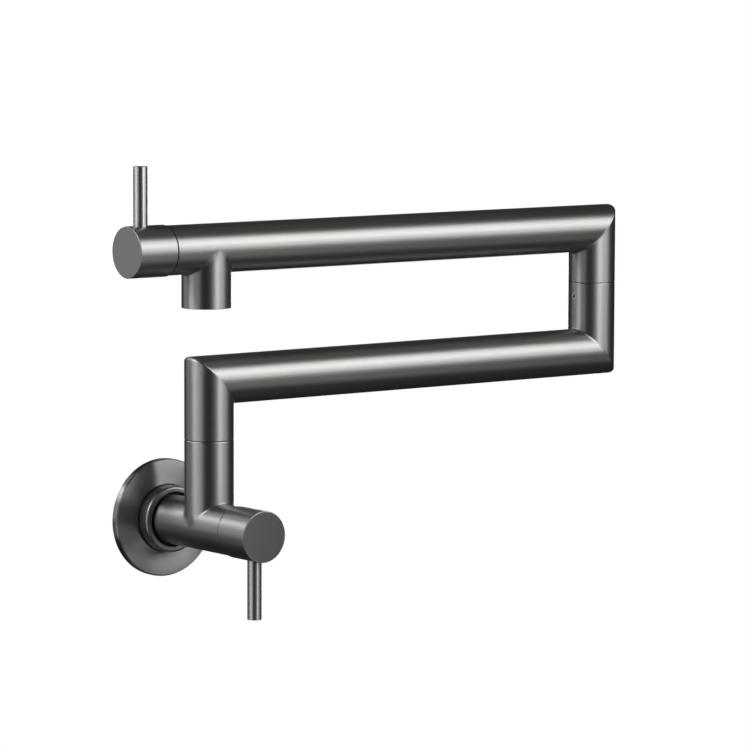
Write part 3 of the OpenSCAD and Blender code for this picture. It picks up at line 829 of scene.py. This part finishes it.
# Soft boxes: place, aim, width, height, brightness
LAMPS = {
    "key_top": ((0.75, -0.79, 0.83), ARMS, 1.4, 0.30, 3.2),
    "key_middle": ((0.75, -0.97, 0.59), ARMS, 1.4, 0.26, 4.2),
    "key_bottom": ((0.75, -1.08, 0.30), ARMS, 1.4, 0.32, 2.2),
    "key_foot": ((0.75, -0.85, -0.52), ARMS, 1.4, 0.4, 0.2),
    "front": ((0.33, -1.15, 0.06), MIDDLE, 0.32, 0.4, 1.75),
    "front_low": ((0.33, -1.05, -0.35), MIDDLE, 0.3, 0.4, 1.1),
    "front_left": ((-0.05, -1.15, 0.10), MIDDLE, 0.4, 0.5, 0.2),
    "left_side": ((-0.96, 0.26, 0.15), LEFT_END, 0.42, 0.5, 1.6),
    "left_side_top": ((-0.85, 0.20, 0.60), LEFT_END, 0.7, 0.4, 5.0),
    "left_front": ((-1.00, -0.30, 0.10), LEFT_END, 0.4, 0.5, 0.4),
    "left_low": ((-0.95, -0.10, -0.35), LEFT_END, 0.7, 0.4, 1.2),
    "back_left": ((-0.60, 0.85, 0.10), LEFT_END, 0.6, 0.45, 0.4),
    "back_left_top": ((-0.43, 0.80, 0.51), LEFT_END, 0.25, 0.25, 3.8),
    "back_top": ((-0.23, 0.77, 0.70), LEFT_END, 0.25, 0.25, 1.5),
    "back_right": ((0.97, 1.05, -0.05), MIDDLE, 0.5, 0.4, 4.5),
    "overhead": ((0.3, -0.1, 1.2), MIDDLE, 0.8, 0.8, 0.1),
    "underneath": ((0.1, -0.4, -1.0), MIDDLE, 0.8, 0.8, 0.1),
}
LAMP_POWER = 4                  # of a square metre of brightness 1
KEY_COLOUR = (0.965, 1.0, 0.95)
SIDE_COLOUR = (0.985, 1.0, 0.98)

# What reflections see round the object
ROOM = 0.03
ROOM_COLOUR = (1.05, 0.98, 1.02)

FLOOR_HALF = 4.0
FLOOR_HEIGHT = -0.12
WHITE = (1, 1, 1)

# The camera, with the photograph's place and angles; its lens and sensor are in millimetres
CAMERA_PLACE = (-1.3257, -1.9321, 0.3331)
CAMERA_YAW = math.radians(37.442)
CAMERA_PITCH = math.radians(6.126)
CAMERA_ROLL = math.radians(-0.191)
CAMERA_LENS = 198.0
SENSOR = 36.0


def soft_box(name, place, aim, width, height, brightness):
    """A rectangular lamp that the camera doesn't see."""
    data = bpy.data.lights.new(name, "AREA")
    data.shape = "RECTANGLE"
    data.size = width
    data.size_y = height
    data.energy = LAMP_POWER * brightness * width * height
    data.color = KEY_COLOUR if name.startswith("key") else SIDE_COLOUR
    lamp = bpy.data.objects.new(name, data)
    lamp.location = place
    lamp.rotation_mode = "QUATERNION"
    lamp.rotation_quaternion = (Vector(aim) - Vector(place)).to_track_quat("-Z", "Y")
    lamp.visible_camera = False
    bpy.context.scene.collection.objects.link(lamp)


def camera():
    """The camera, looking a little down."""
    ahead = Vector((
        math.sin(CAMERA_YAW) * math.cos(CAMERA_PITCH),
        math.cos(CAMERA_YAW) * math.cos(CAMERA_PITCH),
        -math.sin(CAMERA_PITCH),
    ))
    right = Vector((math.cos(CAMERA_YAW), -math.sin(CAMERA_YAW), 0))
    down = ahead.cross(right)
    side = right * math.cos(CAMERA_ROLL) + down * math.sin(CAMERA_ROLL)
    low = down * math.cos(CAMERA_ROLL) - right * math.sin(CAMERA_ROLL)
    turn = Matrix((side, -low, -ahead)).transposed().to_4x4()
    data = bpy.data.cameras.new("camera")
    data.lens = CAMERA_LENS
    data.sensor_width = SENSOR
    made = bpy.data.objects.new("camera", data)
    made.matrix_world = Matrix.Translation(CAMERA_PLACE) @ turn
    bpy.context.scene.collection.objects.link(made)
    bpy.context.scene.camera = made


def floor():
    """A white floor that glows, so that it runs into the background, and lights and shades nothing."""
    square = [(-1, -1), (1, -1), (1, 1), (-1, 1)]
    corners = [(x * FLOOR_HALF, y * FLOOR_HALF, FLOOR_HEIGHT) for x, y in square]
    data = bpy.data.meshes.new("floor")
    data.from_pydata(corners, [], [(0, 1, 2, 3)])
    made = bpy.data.objects.new("floor", data)
    bpy.context.scene.collection.objects.link(made)
    material = bpy.data.materials.new("floor")
    material.use_nodes = True
    nodes = material.node_tree.nodes
    glow = nodes.new("ShaderNodeEmission")
    glow.inputs["Color"].default_value = (*WHITE, 1)
    glow.inputs["Strength"].default_value = 1.0
    material.node_tree.links.new(glow.outputs["Emission"], nodes["Material Output"].inputs["Surface"])
    data.materials.append(material)
    made.visible_glossy = False
    made.visible_diffuse = False
    made.visible_shadow = False
    made.visible_transmission = False


def world():
    """White behind the object, and a dim surrounding in its reflections."""
    made = bpy.data.worlds.new("studio")
    bpy.context.scene.world = made
    made.use_nodes = True
    tree = made.node_tree
    seen = tree.nodes.new("ShaderNodeLightPath").outputs["Is Camera Ray"]
    dim = [ROOM * value for value in ROOM_COLOUR]
    tree.links.new(mix(tree, seen, dim, WHITE), tree.nodes["Background"].inputs["Color"])


camera()
floor()
world()
for lamp_name, lamp in LAMPS.items():
    soft_box(lamp_name, *lamp)
inlet_body()
lower_arm()
upper_arm()
knob("inlet", from_inlet, INLET_AXIS, -BODY_FRONT, -UP)
knob("outlet", from_outlet, OUTLET_AXIS, ARM_END_X, UP)
lever("inlet", from_inlet, -UP)
lever("outlet", from_outlet, UP)
escutcheon()
collar()
for node_name, part in frame["nodes"].items():
    dress(node_name, part)
bpy.context.scene.view_settings.view_transform = "Standard"
